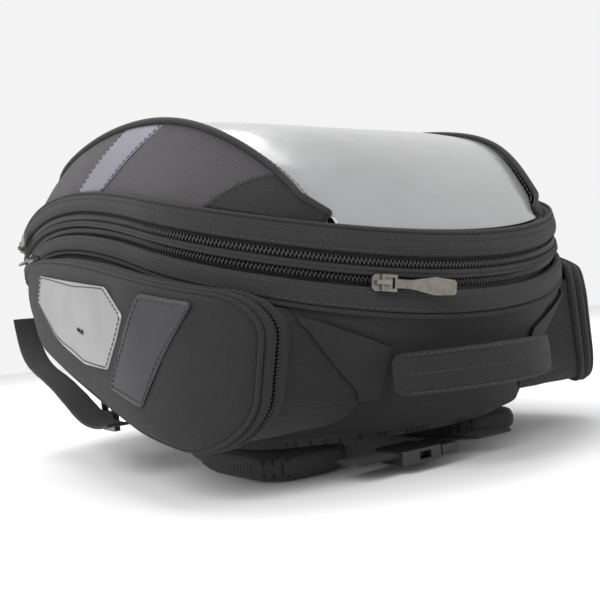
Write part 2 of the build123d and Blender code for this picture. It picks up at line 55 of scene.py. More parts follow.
# The bag's own driving sizes, in millimetres.
HALF_WIDTH = 135.0
HALF_LENGTH = 220.0
SIDE_RADIUS = 1500.0
END_RADIUS = {-1: 150.0, 1: 420.0}
CORNER_RADIUS = {-1: 85.0, 1: 62.0}
RIM_LOW, RIM_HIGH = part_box("lid_rim_band")
MIDDLE_Y = -(RIM_LOW.y + RIM_HIGH.y) / 2 / MM      # drawn from the middle of the rim
BASE_Z = 20.0
BASE_INSET = 32.0
ARCH_RADIUS = 704.0
ARCH_Y = 84.0
ARCH_TOP = 178.0
ARCH_Z = ARCH_TOP - ARCH_RADIUS
BINDING_TOP = 23.0
BINDING_END = 32.0
LID_RISE = 39.5
LID_POWER = 6.5
LID_EDGE_POWER = 2.0
DOME_REACH = {-1: 201.0, 1: 204.0}
DOME_EDGE_END = 76.5
DOME_EDGE_MID = 101.5
REAR_CUT_Z = 84.0
REAR_CUT_Y = -80.0
POCKET_ZIP = 7.5
HANDLE_CENTRE_Y = -165.0
HANDLE_OUTER = 68.0
HANDLE_Z = 48.5
HANDLE_HALF_CHORD = 48.0
HANDLE_STITCH_STEP = 8.3        # between the grip's rows of stitches
HANDLE_STITCH_SHARE = 0.96      # of the grip's arc that is stitched
POCKET_FRONT_Y = -206.0         # the pocket's face stays as wide as this past it
WINDOW_Y = (-199.5, 202.5)      # the window stays as wide as at these past them
STRIPE_SEAMS = ((-22, -42), (-67, -103))        # Y at foot and top, back seam then front
CORNER_SEAMS = ((-161, -182), (-198, -199))
PATCH_SEAMS = (0.045, 0.955)    # the patches' stitches, as a share across them
PATCH_LIFT = 0.5
PATCH_THICKNESS = 0.5
REFLECTOR = [(4, 126), (-112, 106), (-131, 90), (-106, 65), (-72, 69), (-20, 87), (18, 111)]
LABEL = [(-146, 99), (-175, 91), (-140, 46), (-107, 56)]
PATCH_RISE = 8.9                # of the reflector and label over the zip line
PATCH_STITCH_RISE = 9.1
PATCH_STITCH_INSET = 2.2
WINDOW_PIPING = 1.9             # radius
GUSSET_TOP = 13.2               # depth under the arch
GUSSET_DEEP = 17.6
GUSSET_IN = -5.2
GUSSET_FOLD = 1.4
SIDES = {"left": -1, "right": 1}


# ------------------------------------------------------------------ materials
class Shader:
    """A node material being built, with short helpers for its nodes."""

    def __init__(self, name, color, rough, **settings):
        self.material = bpy.data.materials.new(name)
        self.material.use_nodes = True
        self.tree = self.material.node_tree
        self.bsdf = self.tree.nodes["Principled BSDF"]
        self.bsdf.inputs["Base Color"].default_value = (*color, 1.0)
        self.bsdf.inputs["Roughness"].default_value = rough
        for key, value in settings.items():
            self.bsdf.inputs[key.replace("_", " ")].default_value = value
        self.color = color

    def link(self, source, target):
        self.tree.links.new(source, target)

    def math(self, operation, first, second=0.0):
        node = self.tree.nodes.new("ShaderNodeMath")
        node.operation = operation
        for socket, value in zip(node.inputs, (first, second)):
            if isinstance(value, (int, float)):
                socket.default_value = value
            else:
                self.link(value, socket)
        return node.outputs[0]

    def axes(self, plane):
        """Two coordinates in metres: of the UV map, or of two object axes such as YZ."""
        coordinate = self.tree.nodes.new("ShaderNodeTexCoord")
        split = self.tree.nodes.new("ShaderNodeSeparateXYZ")
        if plane == "UV":
            self.link(coordinate.outputs["UV"], split.inputs[0])
            return split.outputs["X"], split.outputs["Y"]
        self.link(coordinate.outputs["Object"], split.inputs[0])
        return split.outputs[plane[0]], split.outputs[plane[1]]

    def wave(self, axis, pitch, shift=0.0):
        """Sine along one coordinate, from -1 to 1, with this pitch in metres."""
        turned = self.math("MULTIPLY", axis, 2 * pi / pitch)
        return self.math("SINE", self.math("ADD", turned, shift))

    def noise(self, scale, detail=3.0):
        coordinate = self.tree.nodes.new("ShaderNodeTexCoord")
        node = self.tree.nodes.new("ShaderNodeTexNoise")
        node.inputs["Scale"].default_value = scale
        node.inputs["Detail"].default_value = detail
        node.inputs["Roughness"].default_value = 0.55
        self.link(coordinate.outputs["Object"], node.inputs["Vector"])
        return node.outputs["Fac"]

    def tint(self, factor, dark, light):
        """Base colour between two multiples of the material's colour."""
        mix = self.tree.nodes.new("ShaderNodeMix")
        mix.data_type = "RGBA"
        mix.inputs["A"].default_value = (*[c * dark for c in self.color], 1.0)
        mix.inputs["B"].default_value = (*[min(c * light, 1.0) for c in self.color], 1.0)
        self.link(factor, mix.inputs["Factor"])
        self.link(mix.outputs["Result"], self.bsdf.inputs["Base Color"])

    def bump(self, height, distance, strength=1.0):
        node = self.tree.nodes.new("ShaderNodeBump")
        node.inputs["Strength"].default_value = strength
        node.inputs["Distance"].default_value = distance
        self.link(height, node.inputs["Height"])
        self.link(node.outputs["Normal"], self.bsdf.inputs["Normal"])


def woven(name, color, plane, pitch, depth, crest_highlight=0.25, ribs=False):
    """Woven cloth: raised threads both ways, or ribs along one way, with thread crests lighter as painted
    highlight and dips darker as painted shade, and uneven dye.
    """
    shader = Shader(name, color, 0.85, Sheen_Weight=0.05, Sheen_Roughness=0.5)
    across, along = shader.axes(plane)
    first = shader.wave(across, pitch)
    second = shader.wave(along, pitch)
    threads = first if ribs else shader.math("MULTIPLY", first, second)
    fuzz = shader.noise(900.0, 2.0)
    height = shader.math("ADD", threads, shader.math("MULTIPLY", fuzz, 0.8))
    shader.bump(height, depth, 0.8)
    # Thread crests tinted lighter than the dips: painted highlight and shade on the weave. The noise patches
    # below are uneven dye.
    lift = shader.math("MULTIPLY", threads, crest_highlight)
    patches = shader.noise(22.0, 4.0)
    dye_and_crest_highlight = shader.math("ADD", shader.math("ADD", lift, 0.1), shader.math("MULTIPLY", patches, 0.8))
    shader.tint(dye_and_crest_highlight, 0.55, 1.45)
    return shader.material


def mesh_cloth(name, color, plane, pitch):
    """Spacer mesh: rows of small holes in a soft knit, the holes darkened as painted shade."""
    shader = Shader(name, color, 0.85, Sheen_Weight=0.06)
    across, along = shader.axes(plane)
    first = shader.wave(across, pitch)
    second = shader.wave(along, pitch * 1.4)
    holes = shader.math("MULTIPLY", shader.math("ADD", first, 1.0), shader.math("ADD", second, 1.0))
    hole_shade_mask = shader.math("GREATER_THAN", holes, 1.9)
    shader.bump(shader.math("SUBTRACT", 1.0, hole_shade_mask), 0.0006)
    # Holes darkened to a quarter of the knit's colour: painted shade in the holes.
    shader.tint(shader.math("SUBTRACT", 1.0, hole_shade_mask), 0.25, 1.3)
    return shader.material


def metal(name, color, rough):
    """Antique metal: polished high spots and dark patches."""
    shader = Shader(name, color, rough, Metallic=1.0)
    patches = shader.noise(260.0, 4.0)
    shader.tint(patches, 0.45, 1.5)
    shader.bump(shader.noise(1400.0), 0.00012, 0.5)
    return shader.material


def plastic(name, color, rough):
    """Moulded plastic with a fine spark-eroded grain."""
    shader = Shader(name, color, rough, Coat_Weight=0.05)
    shader.tint(shader.noise(60.0), 0.8, 1.3)
    shader.bump(shader.noise(1800.0, 2.0), 0.00008, 0.6)
    return shader.material


def reflective(name, color, plane):
    """Glass-bead reflective fabric: fine honeycomb under a satin face."""
    shader = Shader(name, color, 0.42, Metallic=0.35, Coat_Weight=0.15)
    across, along = shader.axes(plane)
    cells = shader.math("MULTIPLY", shader.wave(across, 0.0022), shader.wave(along, 0.0022))
    shader.bump(shader.math("ADD", cells, shader.noise(1500.0)), 0.00008, 0.6)
    shader.tint(shader.math("ADD", shader.math("MULTIPLY", cells, 0.12), shader.noise(30.0)), 0.8, 1.2)
    return shader.material


def vinyl(name):
    """Clear soft vinyl: slightly hazy, with shallow waves that stretch the highlights."""
    shader = Shader(name, (0.36, 0.365, 0.37), 0.24, IOR=1.5, Transmission_Weight=0.35)
    shader.bsdf.inputs["Coat Weight"].default_value = 0.35
    shader.bsdf.inputs["Coat Roughness"].default_value = 0.14
    shader.tint(shader.noise(14.0, 5.0), 0.78, 1.22)
    ripples = shader.noise(26.0, 2.0)
    grain = shader.math("MULTIPLY", shader.noise(420.0, 2.0), 0.06)
    shader.bump(shader.math("ADD", ripples, grain), 0.0022, 0.55)
    return shader.material


def lining(name, color):
    """Ripstop lining: a grid of thicker threads."""
    shader = Shader(name, color, 0.6, Sheen_Weight=0.05)
    across, along = shader.axes("XY")
    square = shader.math("MAXIMUM", shader.wave(across, 0.006), shader.wave(along, 0.006))
    shader.bump(shader.math("ADD", square, shader.noise(500.0)), 0.0002)
    shader.tint(shader.noise(18.0), 0.75, 1.25)
    return shader.material


BLACK = (0.0060, 0.0058, 0.0064)
MATERIALS = {
    "side_yz": woven("black_cloth_side", BLACK, "YZ", 0.0011, 0.00022),
    "front_xz": woven("black_cloth_front", BLACK, "XZ", 0.0011, 0.00022),
    "wrap": woven("black_cloth_wrap", BLACK, "UV", 0.0011, 0.00022),
    "band": woven("band_cloth", (0.0125, 0.0115, 0.0130), "UV", 0.0012, 0.00025),
    "binding": woven("binding_tape", (0.0115, 0.0110, 0.0120), "UV", 0.0010, 0.00025, ribs=True),
    "tape": woven("zip_tape", (0.0065, 0.0065, 0.0070), "UV", 0.0009, 0.00015),
    "coil": plastic("zip_coil", (0.0080, 0.0080, 0.0088), 0.45),
    "panel": woven("grey_coarse_cloth", (0.036, 0.032, 0.036), "YZ", 0.0016, 0.00035, crest_highlight=0.4),
    "corner": woven("corner_cloth", (0.0065, 0.0065, 0.0070), "YZ", 0.0012, 0.00022),
    "stripe": reflective("lavender_reflective", (0.135, 0.128, 0.160), "YZ"),
    "reflector": reflective("grey_reflective", (0.27, 0.27, 0.275), "YZ"),
    "label": plastic("label_rubber", (0.020, 0.0195, 0.023), 0.6),
    "piping": woven("piping_cloth", (0.008, 0.008, 0.0085), "UV", 0.0011, 0.0002),
    "thread": woven("thread", (0.030, 0.029, 0.032), "XZ", 0.0005, 0.00004),
    "window": vinyl("clear_vinyl"),
    "gunmetal": metal("antique_gunmetal", (0.21, 0.195, 0.175), 0.36),
    "plastic": plastic("black_plastic", (0.012, 0.012, 0.013), 0.36),
    "mesh": mesh_cloth("spacer_mesh", (0.020, 0.020, 0.022), "XY", 0.0030),
    "webbing": woven("webbing", (0.014, 0.014, 0.015), "YZ", 0.0013, 0.0003),
    "grey_webbing": woven("grey_webbing", (0.26, 0.26, 0.27), "YZ", 0.0013, 0.0003),
    "lining": lining("lining_cloth", (0.055, 0.055, 0.060)),
    "board": plastic("board", (0.03, 0.03, 0.03), 0.6),
}


# ------------------------------------------------------------------ plan and arc
def corner_centre(end):
    """Centre of the corner arc between an end arc and the +X side arc."""
    end_y = end * (HALF_LENGTH - END_RADIUS[end])
    side_x = HALF_WIDTH - SIDE_RADIUS
    near = END_RADIUS[end] - CORNER_RADIUS[end]
    far = SIDE_RADIUS - CORNER_RADIUS[end]
    span = hypot(side_x, end_y)
    along = (near ** 2 - far ** 2 + span ** 2) / (2 * span)
    across = sqrt(near ** 2 - along ** 2)
    axis = (side_x / span, -end_y / span)
    options = [
        (along * axis[0] - way * across * axis[1], end_y + along * axis[1] + way * across * axis[0])
        for way in (1, -1)
    ]
    return max(options, key=lambda point: point[0] + end * point[1])


def quarter_arcs(end):
    """End, corner and side arcs of one quarter: centre, radius, and the two angles."""
    centre = corner_centre(end)
    end_centre = (0.0, end * (HALF_LENGTH - END_RADIUS[end]))
    side_centre = (HALF_WIDTH - SIDE_RADIUS, 0.0)
    to_end = atan2(centre[1] - end_centre[1], centre[0] - end_centre[0])
    to_side = atan2(centre[1] - side_centre[1], centre[0] - side_centre[0])
    return [
        (end_centre, END_RADIUS[end], end * pi / 2, to_end),
        (centre, CORNER_RADIUS[end], to_end, to_side),
        (side_centre, SIDE_RADIUS, to_side, 0.0),
    ]


def outline_samples(step):
    """Points round the plan outline, with outward normals and distance, in millimetres."""
    right = quarter_arcs(-1)
    right += [(centre, radius, b, a) for centre, radius, a, b in reversed(quarter_arcs(1))]
    points = []
    for centre, radius, start, stop in right:
        count = max(2, ceil(abs(stop - start) * radius / step))
        for index in range(count):
            angle = start + (stop - start) * index / count
            normal = (cos(angle), sin(angle))
            points.append((centre[0] + radius * normal[0], centre[1] + radius * normal[1], *normal))
    points.append((0.0, HALF_LENGTH, 0.0, 1.0))
    left = [(-x, y, -nx, ny) for x, y, nx, ny in reversed(points[1:-1])]
    points = np.array(points + left)
    steps = np.hypot(*(np.roll(points[:, :2], -1, axis=0) - points[:, :2]).T)
    return points, np.concatenate(([0.0], np.cumsum(steps)))


RING, RING_LENGTH = outline_samples(2.2)


def arch_z(y, depth=0.0):
    return ARCH_Z + np.sqrt((ARCH_RADIUS - depth) ** 2 - (y - ARCH_Y) ** 2)


def half_width_at(y, grow=0.0):
    """Half width of the plan outline at a given Y."""
    end = -1 if y < 0 else 1
    arcs = quarter_arcs(end)
    for (cx, cy), radius, start, stop in reversed(arcs):
        low, high = sorted((cy + (radius + grow) * sin(start), cy + (radius + grow) * sin(stop)))
        if low <= y <= high:
            return cx + sqrt(max((radius + grow) ** 2 - (y - cy) ** 2, 0.0))
    return 0.0


def wobble(point, size, seed=0.0):
    """Smooth repeatable noise from -1 to 1 at a point in millimetres."""
    return noise.noise(Vector((point[0] / size + seed, point[1] / size, point[2] / size)))


# ------------------------------------------------------------------ mesh helpers
def new_object(name, points, faces, material, uvs=None):
    """Mesh object from points in millimetres, drawn round the middle of the rim."""
    mesh = bpy.data.meshes.new(name)
    shifted = [(x * MM, (y - MIDDLE_Y) * MM, z * MM) for x, y, z in points]
    mesh.from_pydata(shifted, [], faces)
    if uvs is not None:
        layer = mesh.uv_layers.new(name="UVMap")
        for loop in mesh.loops:
            layer.data[loop.index].uv = uvs[loop.vertex_index]
    mesh.validate()
    obj = bpy.data.objects.new(name, mesh)
    bpy.context.scene.collection.objects.link(obj)
    mesh.materials.append(MATERIALS[material])
    recalc(obj)
    mesh.polygons.foreach_set("use_smooth", [True] * len(mesh.polygons))
    return obj


def recalc(obj):
    work = bmesh.new()
    work.from_mesh(obj.data)
    bmesh.ops.recalc_face_normals(work, faces=work.faces)
    work.to_mesh(obj.data)
    work.free()


def grid_faces(rows, columns, wrap_rows=False, wrap_columns=False):
    faces = []
    for row in range(rows if wrap_rows else rows - 1):
        for column in range(columns if wrap_columns else columns - 1):
            after_row = (row + 1) % rows
            after_column = (column + 1) % columns
            faces.append((
                row * columns + column,
                row * columns + after_column,
                after_row * columns + after_column,
                after_row * columns + column,
            ))
    return faces


def fan_faces(rows, count, apex):
    """Triangles from the last of several rings to one point."""
    last = (rows - 1) * count
    return [(last + k, last + (k + 1) % count, apex) for k in range(count)]


def face_towards(obj, direction):
    """Turn the faces over if most of them look away from this direction."""
    if sum(face.normal.dot(Vector(direction)) for face in obj.data.polygons) < 0:
        obj.data.flip_normals()


def drawn_in(point, centre, share):
    """Point moved towards a centre, left with this share of its distance."""
    return tuple(middle + (value - middle) * share for value, middle in zip(point, centre))


def band(name, section, body, material, hides=(), soft=0.0):
    """Sweep a closed (outward, depth) section round the bag along the rim arc."""
    rows = []
    uvs = []
    lengths = np.concatenate(([0.0], np.cumsum([hypot(b[0] - a[0], b[1] - a[1])
                                                for a, b in zip(section, section[1:])])))
    for index, (x, y, nx, ny) in enumerate(RING):
        for (grow, depth), across in zip(section, lengths):
            swell = soft * (wobble((x, y, 0), 26.0) + 0.6 * wobble((x, y, 9), 9.0))
            reach = grow + (swell if grow > 0 else 0.0)
            py = y + ny * reach
            rows.append((x + nx * reach, py, float(arch_z(py, depth))))
            uvs.append((RING_LENGTH[index] * MM, across * MM))
    obj = new_object(name, rows, grid_faces(len(RING), len(section), True, True), material, uvs)
    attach(obj, body)
    if hides:
        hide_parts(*hides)
    return obj


def round_section(grow, depth, radius, count=10):
    return [(grow + radius * cos(2 * pi * i / count), depth + radius * sin(2 * pi * i / count))
            for i in range(count)]


def bars(name, frames, size, body, material):
    """Many small rounded bars, one at each (centre, along, out) frame, as one piece."""
    points = []
    faces = []
    long, wide, tall = (value / 2 for value in size)
    ends = ((-1.0, 0.55), (-0.6, 1.0), (0.6, 1.0), (1.0, 0.55))
    ring = ((-1, -0.6), (-0.6, -1), (0.6, -1), (1, -0.6), (1, 0.6), (0.6, 1), (-0.6, 1), (-1, 0.6))
    for centre, along, out in frames:
        centre, along, out = Vector(centre), Vector(along).normalized(), Vector(out).normalized()
        side = out.cross(along).normalized()
        start = len(points)
        for place, scale in ends:
            for a, b in ring:
                offset = along * place * long + side * a * wide * scale + out * b * tall * scale
                points.append(tuple(centre + offset))
        count = len(ring)
        for level in range(len(ends) - 1):
            for k in range(count):
                a = start + level * count + k
                b = start + level * count + (k + 1) % count
                faces.append((a, b, b + count, a + count))
        faces.append(tuple(start + k for k in reversed(range(count))))
        faces.append(tuple(start + (len(ends) - 1) * count + k for k in range(count)))
    obj = new_object(name, points, faces, material)
    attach(obj, body)
    return obj


def ring_frames(grow, depth, pitch, shift=0.0, across=False):
    """Evenly spaced frames round the rim, along the band or, for teeth, across it."""
    total = RING_LENGTH[-1]
    count = int(total / pitch)
    frames = []
    for k in range(count):
        place = (k + shift) * total / count
        index = int(np.searchsorted(RING_LENGTH, place, side="right") - 1)
        share = (place - RING_LENGTH[index]) / (RING_LENGTH[index + 1] - RING_LENGTH[index])
        a, b = RING[index], RING[(index + 1) % len(RING)]
        x, y, nx, ny = a + (b - a) * share
        py = y + ny * grow
        slope = -(py - ARCH_Y) / (arch_z(py, depth) - ARCH_Z)
        along = Vector((-ny, nx, nx * slope)).normalized()
        out = Vector((nx, ny, 0))
        centre = (x + nx * grow, py, float(arch_z(py, depth)))
        frames.append((centre, out.cross(along) if across else along, out))
    return frames


def curve_frames(points, outs, pitch, across=False):
    """Evenly spaced frames along a polyline with an outward direction at each point."""
    points = [Vector(p) for p in points]
    steps = [0.0]
    for a, b in zip(points, points[1:]):
        steps.append(steps[-1] + (b - a).length)
    frames = []
    count = max(1, int(steps[-1] / pitch))
    for k in range(count):
        place = (k + 0.5) * steps[-1] / count
        index = min(int(np.searchsorted(steps, place, side="right") - 1), len(points) - 2)
        share = (place - steps[index]) / max(steps[index + 1] - steps[index], 1e-6)
        along = (points[index + 1] - points[index]).normalized()
        out = Vector(outs[index]).normalized()
        centre = points[index].lerp(points[index + 1], share)
        frames.append((centre, out.cross(along) if across else along, out))
    return frames


STITCH = (2.3, 0.55, 0.45)      # length, width and height of one stitch
STITCH_PITCH = 3.3


def soft_copy(node, name, body, material, cell=4.0, amount=0.35, size=11.0):
    """A cloth piece in place of a plain CAD solid: its own fine mesh, gently uneven."""
    source = NODES[node].data
    work = bmesh.new()
    work.from_mesh(source)
    bmesh.ops.remove_doubles(work, verts=work.verts, dist=1e-5)
    for _ in range(5):
        long_edges = [edge for edge in work.edges if edge.calc_length() > cell * MM]
        if not long_edges:
            break
        bmesh.ops.subdivide_edges(work, edges=long_edges, cuts=1)
        bmesh.ops.triangulate(work, faces=[f for f in work.faces if len(f.verts) > 4])
    work.normal_update()
    for vertex in work.verts:
        place = vertex.co / MM
        vertex.co += vertex.normal * amount * MM * wobble(place, size)
    mesh = bpy.data.meshes.new(name)
    work.to_mesh(mesh)
    work.free()
    mesh.materials.append(MATERIALS[material])
    obj = bpy.data.objects.new(name, mesh)
    bpy.context.scene.collection.objects.link(obj)
    smooth_by_angle(obj, 40)
    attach(obj, body)
    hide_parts(node)
    return obj


def smooth_by_angle(obj, angle):
    obj.data.polygons.foreach_set("use_smooth", [True] * len(obj.data.polygons))
    obj.data.set_sharp_from_angle(angle=radians(angle))


# ------------------------------------------------------------------ rim and zips
def zip_half(name, body, node, tape_depths, coil_depth, shift, inward=0.0):
    """Half of a zip round the bag: a flat tape and its row of coil teeth."""
    low, high = tape_depths
    section = [(grow + inward, depth) for grow, depth in
               ((-2.4, low), (-1.4, low), (-1.1, (low + high) / 2), (-1.4, high), (-2.4, high))]
    band(f"{name}_tape", section, body, "tape", (node,))
    frames = ring_frames(-0.2 + inward, coil_depth, 1.9, shift, across=True)
    bars(f"{name}_teeth", frames, (2.2, 1.0, 1.3), body, "coil")


def make_rim():
    rim = [(-3.2, 0.4), (-2.2, -0.5), (0.6, -0.7), (1.5, 0.2), (1.7, 1.4), (1.4, 1.9), (2.0, 2.8),
           (2.2, 5.0), (1.9, 7.0), (1.5, 7.6), (1.5, 8.3), (0.8, 8.95), (-3.2, 8.95), (-3.5, 5.0)]
    band("rim_band", rim, "lid", "band", ("lid_rim_band",), soft=0.25)
    band("rim_bead", round_section(0.35, -1.3, 0.9), "lid", "piping", ("rim_piping",))
    for depth in (1.65, 7.6):
        frames = ring_frames(1.5, depth, STITCH_PITCH)
        bars(f"rim_stitches_{int(depth)}", frames, STITCH, "lid", "thread")
    zip_half("main_zip_lid", "lid", "main_zip_upper", (9.2, 12.0), 11.8, 0.0)
    zip_half("main_zip_ring", "expander", "main_zip_lower", (12.9, 15.4), 12.9, 0.5)
    ridge = [(-4.4, 9.7), (-2.9, 9.7), (-2.7, 14.6), (0.6, 14.4), (1.3, 14.9), (1.4, 15.5), (0.9, 16.0),
             (1.4, 16.5), (1.5, 17.1), (0.9, 17.7), (-2.7, 17.6), (-2.9, 22.5), (-4.4, 22.5)]
    band("expander_fold", ridge, "expander", "binding", ("expander_band",), soft=0.2)
    zip_half("gusset_zip_upper", "expander", "expansion_zip_upper", (17.8, 19.8), 19.3, 0.0, -1.3)
    zip_half("gusset_zip_lower", "bag_body", "expansion_zip_lower", (20.3, 22.6), 20.5, 0.5, -1.3)
    lower = [(-1.2, 23.2), (0.8, 22.8), (1.7, 23.5), (1.9, 24.4), (2.3, 27.5), (1.9, 30.4),
             (1.6, 31.6), (0.7, 32.1), (-1.2, 32.0)]
    band("top_band", lower, "bag_body", "band", ("top_binding",), soft=0.2)
    for depth in (24.4, 30.6):
        frames = ring_frames(1.95, depth, STITCH_PITCH)
        bars(f"top_band_stitches_{int(depth)}", frames, STITCH, "bag_body", "thread")
    band("body_bead", round_section(0.7, 33.4, 1.0), "bag_body", "piping", ("body_piping",))


# ------------------------------------------------------------------ lid
def dome_share(y):
    reach = DOME_REACH[-1 if y < 0 else 1]
    return max(1 - abs(y / reach) ** LID_POWER, 0.0)


def dome_edges(y):
    """Foot and upper edge of the side panel at Y, as (X, Z)."""
    share = dome_share(y)
    foot = (half_width_at(y, -4.0), float(arch_z(y)) + 0.8)
    edge_x = DOME_EDGE_END + (DOME_EDGE_MID - DOME_EDGE_END) * share ** LID_EDGE_POWER
    edge_x = min(edge_x, foot[0] - 1.5)
    return foot, (edge_x, float(arch_z(y)) + 1.6 + LID_RISE * share)


def dome_stations(count):
    """Y values from end to end of the dome, closer together near its ends."""
    values = [-cos(pi * k / (count - 1)) * 0.988 for k in range(count)]
    return [value * DOME_REACH[-1 if value < 0 else 1] for value in values]


def thick_sheet(name, rows, columns, points, thickness, body, material, hides=()):
    """Sheet from a grid of points in millimetres, given thickness downwards."""
    obj = new_object(name, points, grid_faces(rows, columns), material)
    face_towards(obj, (0, 0, 1))
    add_thickness(obj, thickness)
    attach(obj, body)
    if hides:
        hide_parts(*hides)
    return obj


def add_thickness(obj, thickness):
    modifier = obj.modifiers.new("Thickness", "SOLIDIFY")
    modifier.thickness = thickness * MM
    modifier.offset = -1.0
    apply_modifiers(obj)


def apply_modifiers(obj):
    graph = bpy.context.evaluated_depsgraph_get()
    graph.update()
    mesh = bpy.data.meshes.new_from_object(obj.evaluated_get(graph))
    old = obj.data
    obj.modifiers.clear()
    obj.data = mesh
    bpy.data.meshes.remove(old)


def rim_reach(x, end):
    """Distance from the middle to the inside of the rim, at this X."""
    radius = END_RADIUS[end] - 4.0
    return HALF_LENGTH - END_RADIUS[end] + sqrt(radius ** 2 - x ** 2)


def make_window():
    """Window sheet: its two ends follow the curve of the rim."""
    rows, columns = 110, 64
    points = []
    for row in range(rows):
        part = -cos(pi * row / (rows - 1))
        end = -1 if part < 0 else 1
        for column in range(columns):
            u = -1 + 2 * column / (columns - 1)
            y = part * DOME_REACH[end]
            edge_x = dome_edges(min(max(y, WINDOW_Y[0]), WINDOW_Y[1]))[1][0]
            x = u * edge_x
            y += end * (rim_reach(x, end) - DOME_REACH[end]) * abs(part) ** 6
            share = max(1 - abs(part) ** LID_POWER, 0.0)
            rise = LID_RISE * share + 2.4 * share * (1 - abs(u) ** 4) + 0.4
            sag = 0.5 * wobble((x, y, 0), 70.0) * share * (1 - u ** 6)
            points.append((x, y, float(arch_z(y)) + 1.2 + rise + sag))
    thick_sheet("map_window_sheet", rows, columns, points, 0.6, "lid", "window", ("map_window",))


def side_panel_point(y, side, part, lift):
    """Point on a side panel: part 0 at its foot and 1 at its upper edge."""
    foot, edge = dome_edges(y)
    run = (foot[0] - edge[0], edge[1] - foot[1])
    length = hypot(*run)
    bulge = 1.6 * sin(pi * part) * dome_share(y) + lift
    x = foot[0] + (edge[0] - foot[0]) * part + bulge * run[1] / length
    z = foot[1] + (edge[1] - foot[1]) * part + bulge * run[0] / length
    return (side * x, y, z)


def make_side_panels():
    stations = dome_stations(110)
    columns = 24
    for name, side in SIDES.items():
        points = []
        for y in stations:
            for k in range(columns):
                point = side_panel_point(y, side, k / (columns - 1), 0.0)
                soft = 0.3 * wobble(point, 18.0)
                points.append((point[0] + side * soft, point[1], point[2]))
        thick_sheet(f"side_panel_{name}", len(stations), columns, points, 1.1, "lid", "panel",
                    (f"lid_side_panel_{name}",))


def panel_patch(name, side, low, high, edge_back, edge_front, material):
    """Patch on a side panel between two slanted seams, each given as Y at foot and top."""

    def point(part, across, lift):
        back = edge_back[0] + (edge_back[1] - edge_back[0]) * part
        front = edge_front[0] + (edge_front[1] - edge_front[0]) * part
        return side_panel_point(back + (front - back) * across, side, part, lift)

    rows, columns = 26, 20
    points = [point(low + (high - low) * c / (columns - 1), r / (rows - 1), PATCH_LIFT)
              for r in range(rows) for c in range(columns)]
    obj = thick_sheet(name, rows, columns, points, PATCH_THICKNESS, "lid", material)
    stitches = []
    for across in PATCH_SEAMS:
        line = [point(low + (high - low) * c / 39, across, PATCH_LIFT + 0.15) for c in range(40)]
        outs = [(side * 0.7, 0.0, 0.7)] * len(line)
        stitches += curve_frames(line, outs, STITCH_PITCH)
    bars(f"{name}_stitches", stitches, STITCH, "lid", "thread")
    return obj


def make_lid_patches():
    for name, side in SIDES.items():
        panel_patch(f"stripe_{name}", side, 0.02, 0.97, *STRIPE_SEAMS, "stripe")
        panel_patch(f"corner_patch_{name}", side, 0.03, 0.96, *CORNER_SEAMS, "corner")
    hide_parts("lid_stripes")
    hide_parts("lid_corner_patches")


def make_window_piping():
    first = None
    for name, side in SIDES.items():
        stations = dome_stations(160)
        count = 10
        points = []
        for y in stations:
            _, (x, z) = dome_edges(y)
            for k in range(count):
                angle = 2 * pi * k / count
                points.append((side * (x + WINDOW_PIPING * cos(angle)), y,
                               z + 1.5 + WINDOW_PIPING * sin(angle)))
        faces = grid_faces(len(stations), count, False, True)
        faces += [tuple(range(count)), tuple(range(len(points) - count, len(points)))]
        obj = new_object(f"window_piping_{name}", points, faces, "piping")
        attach(obj, "lid")
        first = first or obj
        line = []
        outs = []
        for y in dome_stations(200)[12:-12]:
            _, (x, z) = dome_edges(y)
            line.append((side * (x - 4.6), y, z + 0.55))
            outs.append((0.0, 0.0, 1.0))
        bars(f"window_stitches_{name}", curve_frames(line, outs, STITCH_PITCH), STITCH, "lid", "thread")
    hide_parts("window_pipings")


def make_deck():
    """Cloth back of the map pocket, which also closes the lid inside the rim."""
    soft_copy("lid_deck", "map_pocket_back", "lid", "lining", 9.0, 0.3, 20.0)


# ------------------------------------------------------------------ body
TILT_FRONT = float(arch_z(-HALF_LENGTH, BINDING_END))
TILT_BACK = float(arch_z(HALF_LENGTH, BINDING_END))


def wall_offset(y, z):
    """How far the body wall is inside the outline at this height."""
    tilt_z = TILT_FRONT + (TILT_BACK - TILT_FRONT) * (y + HALF_LENGTH) / (2 * HALF_LENGTH)
    share = min(max((z - BASE_Z) / (tilt_z - BASE_Z), 0.0), 1.0)
    return -BASE_INSET + (BASE_INSET - 0.6) * share


def rear_floor(y):
    """Height of the base at Y: flat, then rising towards the back."""
    slope = (REAR_CUT_Z - BASE_Z) / (HALF_LENGTH - BASE_INSET - REAR_CUT_Y)
    return BASE_Z + max(y - REAR_CUT_Y, 0.0) * slope


def body_sheet(name, inset, top_depth, levels, material, hides, amount):
    """Tub skin: walls from the top band down, then the base, as one sheet."""
    points = []
    uvs = []
    count = len(RING)
    for level in range(levels):
        share = level / (levels - 1)
        for index, (x, y, nx, ny) in enumerate(RING):
            top = float(arch_z(y, top_depth))
            z = top + (BASE_Z + inset - top) * share
            grow = wall_offset(y, z) - inset
            py = y + ny * grow
            z = max(z, rear_floor(py) + inset)
            soft = amount * sin(pi * min(share * 1.15, 1.0)) * (
                wobble((x, y, z), 34.0) + 0.45 * wobble((x, y, z * 1.6), 13.0))
            reach = grow + soft
            points.append((x + nx * reach, y + ny * reach, z))
            uvs.append((RING_LENGTH[index] * MM, z * MM))
    base_rings = 10
    base_start = len(points) - count
    edge = points[base_start:]
    for ring in range(1, base_rings):
        share = ring / base_rings
        for x, y, z in edge:
            px, py = x * (1 - share), y * (1 - share)
            points.append((px, py, rear_floor(py) + inset))
            uvs.append((px * MM, py * MM))
    points.append((0.0, 0.0, BASE_Z + inset))
    uvs.append((0.0, 0.0))
    rows = levels + base_rings - 1
    faces = grid_faces(rows, count, False, True)
    faces += fan_faces(rows, count, len(points) - 1)
    obj = new_object(name, points, faces, material, uvs)
    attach(obj, "bag_body")
    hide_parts(*hides)


